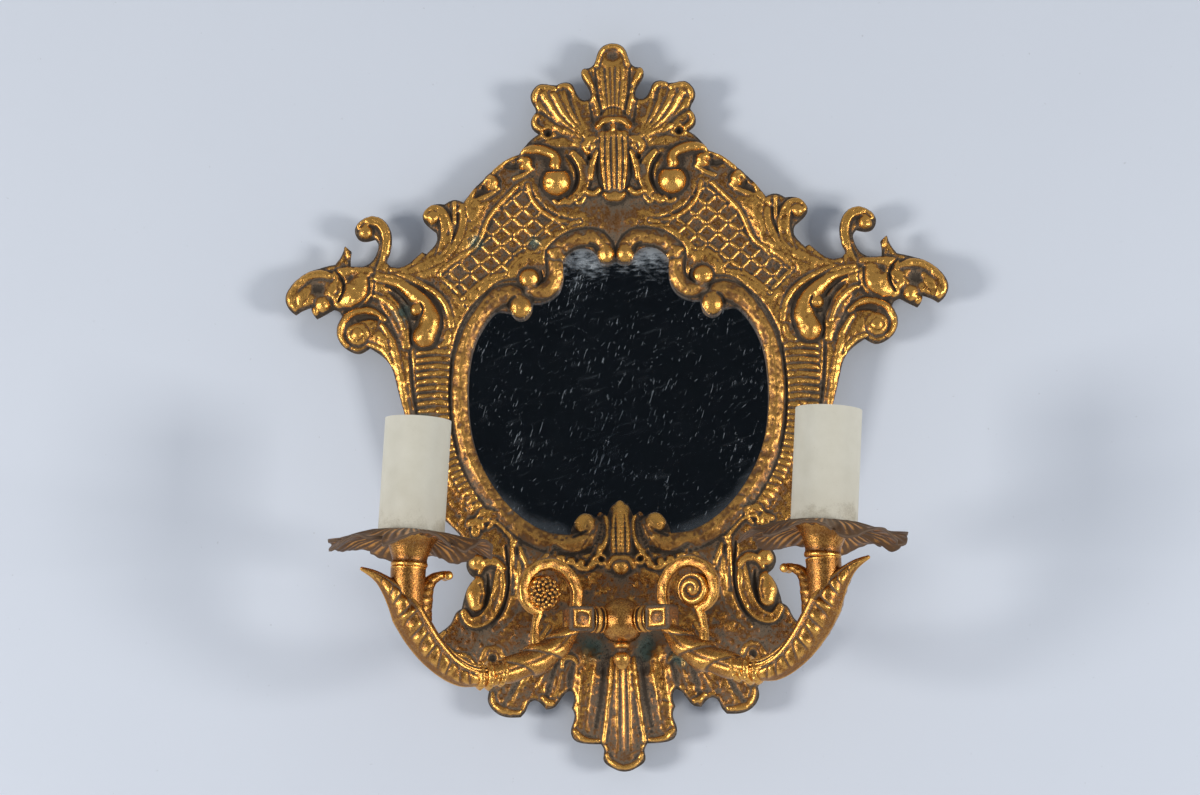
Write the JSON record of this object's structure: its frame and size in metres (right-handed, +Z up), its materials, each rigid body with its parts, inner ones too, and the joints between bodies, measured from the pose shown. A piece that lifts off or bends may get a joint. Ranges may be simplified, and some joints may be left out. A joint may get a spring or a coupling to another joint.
{
  "type": "girandole mirror",
  "caption": "Small cast rococo wall mirror in worn gilt, with a pair of curved electric candle arms, drip pans and card candle sleeves below the shaped glass.",
  "frame": {"origin": "centre of the hanger plate's keyhole on the wall plane, where the wall screw goes in", "axes": "+Z up, +Y into the wall, so the mirror faces -Y and its width runs along X"},
  "size_m": [0.285, 0.1144, 0.3151],
  "materials": {
    "gilt_brass": "worn gilding with dark patina",
    "pan_brass": "dull brown gilding",
    "mirror": "silvered glass with fine scratches",
    "board": "raw hardboard",
    "steel": "plain zinc",
    "card": null,
    "holder": "moulded cream insulating plastic",
    "socket_brass": "plain brass"
  },
  "bodies": {
    "root": {"frame_casting": "gilt_brass", "mirror_glass": "mirror", "backing_board": "board", "clip_screws": "steel", "hanger_plate": "steel", "hanger_screws": "steel", "hub_ball": "gilt_brass", "hub_stud": "steel", "hub_washer": "steel", "hub_nut": "steel", "drop_finial": "gilt_brass", "arm_collar_left": "gilt_brass", "arm_stud_left": "steel", "arm_left": "gilt_brass", "nipple_left": "steel", "pan_cup_left": "gilt_brass", "drip_pan_left": "pan_brass", "holder_nut_left": "steel", "lampholder_body_left": "holder", "lampholder_shell_left": "socket_brass", "lampholder_contact_left": "socket_brass", "arm_collar_right": "gilt_brass", "arm_stud_right": "steel", "arm_right": "gilt_brass", "nipple_right": "steel", "pan_cup_right": "gilt_brass", "drip_pan_right": "pan_brass", "holder_nut_right": "steel", "lampholder_body_right": "holder", "lampholder_shell_right": "socket_brass", "lampholder_contact_right": "socket_brass"},
    "turn_clip_upper_left": {"turn_clip_upper_left": "socket_brass"},
    "turn_clip_upper_right": {"turn_clip_upper_right": "socket_brass"},
    "turn_clip_lower_left": {"turn_clip_lower_left": "socket_brass"},
    "turn_clip_lower_right": {"turn_clip_lower_right": "socket_brass"},
    "candle_sleeve_left": {"candle_sleeve_left": "card"},
    "candle_sleeve_right": {"candle_sleeve_right": "card"}
  },
  "joints": [
    {"name": "turn_clip_upper_left_swing", "type": "hinge", "parent": "root", "child": "turn_clip_upper_left", "pos_m": [-0.0665, -0.0025, -0.04477], "axis": [0, -1, 0], "range_deg": [0, 90]},
    {"name": "turn_clip_upper_right_swing", "type": "hinge", "parent": "root", "child": "turn_clip_upper_right", "pos_m": [0.0665, -0.0025, -0.04477], "axis": [0, -1, 0], "range_deg": [-90, 0]},
    {"name": "turn_clip_lower_left_swing", "type": "hinge", "parent": "root", "child": "turn_clip_lower_left", "pos_m": [-0.0603, -0.0025, -0.14703], "axis": [0, -1, 0], "range_deg": [-90, 0]},
    {"name": "turn_clip_lower_right_swing", "type": "hinge", "parent": "root", "child": "turn_clip_lower_right", "pos_m": [0.0603, -0.0025, -0.14703], "axis": [0, -1, 0], "range_deg": [0, 90]},
    {"name": "candle_sleeve_left_lift", "type": "slide", "parent": "root", "child": "candle_sleeve_left", "axis": [0.0698, 0, 0.9976], "range_m": [0, 0.055]},
    {"name": "candle_sleeve_right_lift", "type": "slide", "parent": "root", "child": "candle_sleeve_right", "axis": [0.0698, 0, 0.9976], "range_m": [0, 0.055]}
  ]
}
